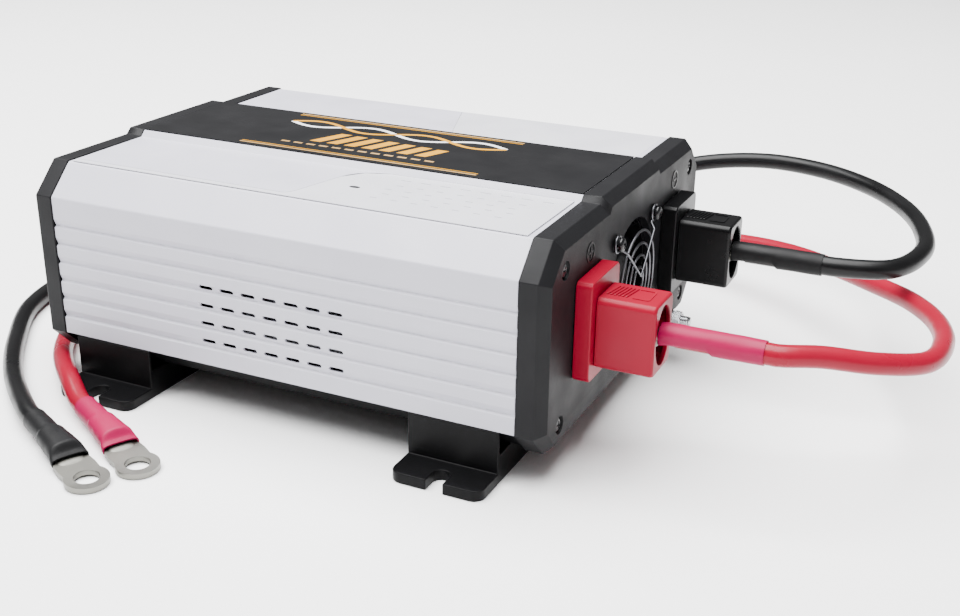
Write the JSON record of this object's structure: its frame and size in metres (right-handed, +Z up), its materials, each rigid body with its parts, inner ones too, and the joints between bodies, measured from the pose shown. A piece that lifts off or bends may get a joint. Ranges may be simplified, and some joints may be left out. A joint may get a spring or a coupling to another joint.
{
  "type": "power inverter",
  "caption": "Direct-current to mains power inverter: ribbed vented cover on slotted feet, fan-cooled terminal end with hooded terminals, and heavy battery cables with ring lugs.",
  "frame": {"origin": "on the floor, under the middle of the unit's box without its cables", "axes": "+X out of the battery-terminal end, -Y out of the vented side with the smaller label, +Z up"},
  "size_m": [0.4708, 0.414, 0.1069],
  "materials": {
    "white_powder_coat": "satin",
    "black_steel": "satin black",
    "black_plastic": "fine moulded texture",
    "label_film": "printed film",
    "clear_label": "white printed film",
    "red_plastic": "satin moulded",
    "tinned_copper": "tin plated",
    "steel": "zinc plated",
    "black_steel_screw": "black oxide",
    "red_sleeve": "heat-shrink sleeve",
    "black_sleeve": "heat-shrink sleeve",
    "red_cable": "soft cable jacket",
    "black_cable": "soft cable jacket",
    "green_lamp": "lamp lens",
    "red_lamp": "lamp lens",
    "circuit_board": "solder mask",
    "aluminium": "extruded",
    "ferrite": "wound core",
    "capacitor_sleeve": "shrink sleeve"
  },
  "bodies": {
    "housing": {"ac_end_bezel": "black_plastic", "ac_screw_front_lower": "black_steel_screw", "ac_screw_front_upper": "black_steel_screw", "ac_screw_rear_lower": "black_steel_screw", "ac_screw_rear_upper": "black_steel_screw", "base_tray": "black_steel", "battery_lug_black": "tinned_copper", "battery_lug_red": "tinned_copper", "battery_sleeve_black": "black_sleeve", "battery_sleeve_red": "red_sleeve", "bus_capacitor": "capacitor_sleeve", "cable_black": "black_cable", "cable_red": "red_cable", "dc_end_bezel": "black_plastic", "dc_screw_front_lower": "black_steel_screw", "dc_screw_front_upper": "black_steel_screw", "dc_screw_rear_lower": "black_steel_screw", "dc_screw_rear_upper": "black_steel_screw", "fan_frame": "black_plastic", "fan_guard": "steel", "fan_screw_front_lower": "black_steel_screw", "fan_screw_front_upper": "black_steel_screw", "fan_screw_rear_lower": "black_steel_screw", "fan_screw_rear_upper": "black_steel_screw", "fault_lamp": "red_lamp", "foot_ac_end": "black_steel", "foot_dc_end": "black_steel", "front_label": "clear_label", "ground_jam_nut": "steel", "ground_nut": "steel", "ground_stud": "steel", "heat_sink_front": "aluminium", "heat_sink_rear": "aluminium", "label_strip": "label_film", "main_board": "circuit_board", "outlet_front": "black_plastic", "outlet_rear": "black_plastic", "power_lamp": "green_lamp", "remote_jack": "black_plastic", "switch_housing": "black_plastic", "terminal_bar_black": "tinned_copper", "terminal_bar_red": "tinned_copper", "terminal_bolt_black": "steel", "terminal_bolt_red": "steel", "terminal_flange_black": "black_plastic", "terminal_flange_red": "red_plastic", "terminal_lug_black": "tinned_copper", "terminal_lug_red": "tinned_copper", "terminal_nut_black": "steel", "terminal_nut_red": "steel", "terminal_sleeve_black": "black_sleeve", "terminal_sleeve_red": "red_sleeve", "top_cover": "white_powder_coat", "transformer_dc_end": "ferrite", "transformer_middle": "ferrite", "usb_port": "black_plastic"},
    "fan": {"fan_rotor": "black_plastic"},
    "power_rocker": {"power_switch": "black_plastic"},
    "red_boot": {"terminal_boot_red": "red_plastic"},
    "black_boot": {"terminal_boot_black": "black_plastic"}
  },
  "joints": [
    {"name": "fan_spin", "type": "hinge", "parent": "housing", "child": "fan", "pos_m": [0.09753, 0, 0.059], "axis": [1, 0, 0], "continuous": true},
    {"name": "power_switch_rock", "type": "hinge", "parent": "housing", "child": "power_rocker", "pos_m": [-0.14563, 0.046, 0.07], "axis": [0, 0, 1], "range_deg": [0, 18]},
    {"name": "red_boot_slide", "type": "slide", "parent": "housing", "child": "red_boot", "axis": [1, 0, 0], "range_m": [0, 0.025]},
    {"name": "black_boot_slide", "type": "slide", "parent": "housing", "child": "black_boot", "axis": [1, 0, 0], "range_m": [0, 0.025]}
  ]
}
